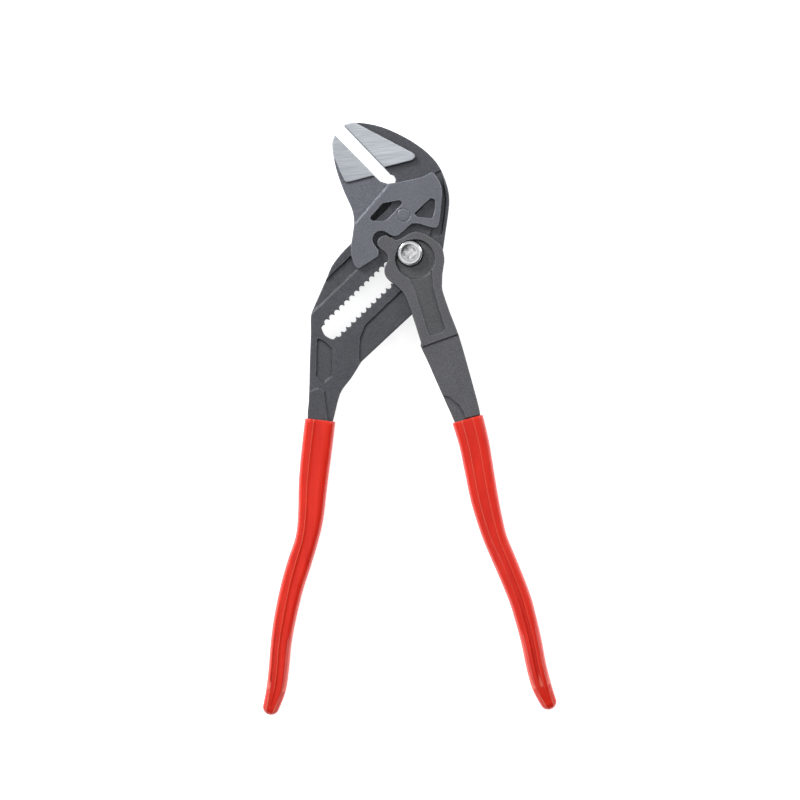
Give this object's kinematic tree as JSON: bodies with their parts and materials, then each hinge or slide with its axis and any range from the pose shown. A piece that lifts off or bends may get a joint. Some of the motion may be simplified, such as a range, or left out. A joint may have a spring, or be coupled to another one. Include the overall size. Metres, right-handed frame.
{
  "type": "tongue and groove pliers",
  "caption": "Slot-adjusted pliers with smooth parallel jaws, a push-button toothed joint bolt and dipped grips.",
  "frame": {"origin": "on the joint bolt's axis, on the plane that the rear cheeks and the backs of the grips rest on", "axes": "+X to the right, +Y towards the jaw tips, +Z out of the front face, with the tool lying flat on its back"},
  "size_m": [0.1231, 0.2485, 0.0164],
  "materials": {
    "dark_steel": "phosphated",
    "warm_steel": "phosphated",
    "bright_steel": "turned",
    "chrome": "polished",
    "red_vinyl": "gloss"
  },
  "bodies": {
    "slot_side": {"slotted_lever": "dark_steel", "left_grip": "red_vinyl"},
    "joint_carriage": {"bolt_spring": "bright_steel", "spring_washer": "bright_steel"},
    "fork_side": {"fork_lever": "warm_steel", "right_grip": "red_vinyl"},
    "jaw_side": {"sliding_jaw": "dark_steel", "guide_stud_front": "dark_steel", "guide_stud_rear": "dark_steel"},
    "bolt_side": {"toothed_bolt": "bright_steel", "push_button": "chrome"}
  },
  "joints": [
    {"name": "jaw_adjust", "type": "slide", "parent": "slot_side", "child": "joint_carriage", "axis": [0.7206, 0.6934, 0], "range_m": [-0.0348, 0]},
    {"name": "handle_swing", "type": "hinge", "parent": "joint_carriage", "child": "fork_side", "pos_m": [0, 0, 0.007], "axis": [0, 0, -1], "range_deg": [-6, 17]},
    {"name": "jaw_stroke", "type": "slide", "parent": "joint_carriage", "child": "jaw_side", "axis": [0.7206, 0.6934, 0], "range_m": [-0.0012, 0.0036]},
    {"name": "button_press", "type": "slide", "parent": "joint_carriage", "child": "bolt_side", "axis": [0, 0, -1], "range_m": [0, 0.0018], "stiffness_N_per_m": 1500, "springref_m": -0.001, "deforming": ["bolt_spring"]}
  ],
  "couplings": [
    {"joint": "jaw_stroke", "follows": "handle_swing", "m_per_rad": 0.0106}
  ]
}
